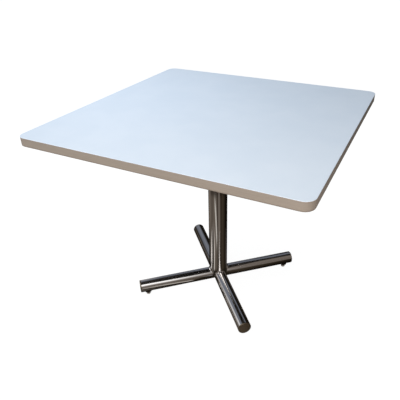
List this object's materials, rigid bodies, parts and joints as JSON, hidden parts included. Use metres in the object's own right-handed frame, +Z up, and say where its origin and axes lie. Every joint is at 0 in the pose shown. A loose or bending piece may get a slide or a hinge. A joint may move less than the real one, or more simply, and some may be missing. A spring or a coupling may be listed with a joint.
{
  "type": "bistro table",
  "caption": "Square laminated bistro table on a polished round steel column with a welded cross base and adjustable glides.",
  "frame": {"origin": "on the column's axis at floor level, where the four glides stand", "axes": "+Z up, +X along the edge of the top that runs from its left corner to its front corner, +Y from there towards the right and back corners"},
  "size_m": [0.9, 0.9, 0.733],
  "materials": {
    "white_laminate": "fine-textured satin decorative laminate, cool blue-white",
    "taupe_edging": "satin plastic edging, taupe",
    "chipboard": "raw chipboard",
    "backing_laminate": "matt balancing laminate, dark brown",
    "black_paint": "fine-textured black powder coat",
    "polished_steel": "mirror-polished stainless steel",
    "satin_steel": "satin-ground stainless steel, darker than the tubes",
    "plain_steel": "turned steel",
    "dark_steel": "blackened steel",
    "zinc_steel": "bright zinc-plated steel",
    "nylon": "moulded nylon, light beige-grey"
  },
  "bodies": {
    "frame": {"top_laminate": "white_laminate", "top_core": "chipboard", "edge_band": "taupe_edging", "backing_laminate": "backing_laminate", "mounting_plate": "black_paint", "plate_screws": "zinc_steel", "column_bolts": "zinc_steel", "column_head_disc": "plain_steel", "column_tube": "polished_steel", "column_foot_disc": "polished_steel", "leg_front": "polished_steel", "leg_right": "polished_steel", "leg_back": "polished_steel", "leg_left": "polished_steel", "end_disc_front": "satin_steel", "end_disc_right": "satin_steel", "end_disc_back": "satin_steel", "end_disc_left": "satin_steel", "weld_front": "polished_steel", "weld_right": "polished_steel", "weld_back": "polished_steel", "weld_left": "polished_steel", "bush_front": "dark_steel", "bush_right": "dark_steel", "bush_back": "dark_steel", "bush_left": "dark_steel", "lock_nut_front": "dark_steel", "lock_nut_right": "dark_steel", "lock_nut_back": "dark_steel", "lock_nut_left": "dark_steel"},
    "glide_pad_front": {"pad_front": "nylon"},
    "glide_stud_front": {"stud_front": "zinc_steel"},
    "glide_pad_right": {"pad_right": "nylon"},
    "glide_stud_right": {"stud_right": "zinc_steel"},
    "glide_pad_back": {"pad_back": "nylon"},
    "glide_stud_back": {"stud_back": "zinc_steel"},
    "glide_pad_left": {"pad_left": "nylon"},
    "glide_stud_left": {"stud_left": "zinc_steel"}
  },
  "joints": [
    {"name": "glide_front_lift", "type": "slide", "parent": "frame", "child": "glide_pad_front", "axis": [0, 0, -1], "range_m": [0, 0.0075]},
    {"name": "glide_front_turn", "type": "hinge", "parent": "glide_pad_front", "child": "glide_stud_front", "pos_m": [0.19862, -0.21676, 0], "axis": [0, 0, -1], "range_deg": [0, 2160]},
    {"name": "glide_right_lift", "type": "slide", "parent": "frame", "child": "glide_pad_right", "axis": [0, 0, -1], "range_m": [0, 0.0075]},
    {"name": "glide_right_turn", "type": "hinge", "parent": "glide_pad_right", "child": "glide_stud_right", "pos_m": [0.21676, 0.19862, 0], "axis": [0, 0, -1], "range_deg": [0, 2160]},
    {"name": "glide_back_lift", "type": "slide", "parent": "frame", "child": "glide_pad_back", "axis": [0, 0, -1], "range_m": [0, 0.0075]},
    {"name": "glide_back_turn", "type": "hinge", "parent": "glide_pad_back", "child": "glide_stud_back", "pos_m": [-0.19862, 0.21676, 0], "axis": [0, 0, -1], "range_deg": [0, 2160]},
    {"name": "glide_left_lift", "type": "slide", "parent": "frame", "child": "glide_pad_left", "axis": [0, 0, -1], "range_m": [0, 0.0075]},
    {"name": "glide_left_turn", "type": "hinge", "parent": "glide_pad_left", "child": "glide_stud_left", "pos_m": [-0.21676, -0.19862, 0], "axis": [0, 0, -1], "range_deg": [0, 2160]}
  ],
  "couplings": [
    {"joint": "glide_front_turn", "follows": "glide_front_lift", "rad_per_m": 5026.5},
    {"joint": "glide_right_turn", "follows": "glide_right_lift", "rad_per_m": 5026.5},
    {"joint": "glide_back_turn", "follows": "glide_back_lift", "rad_per_m": 5026.5},
    {"joint": "glide_left_turn", "follows": "glide_left_lift", "rad_per_m": 5026.5}
  ]
}
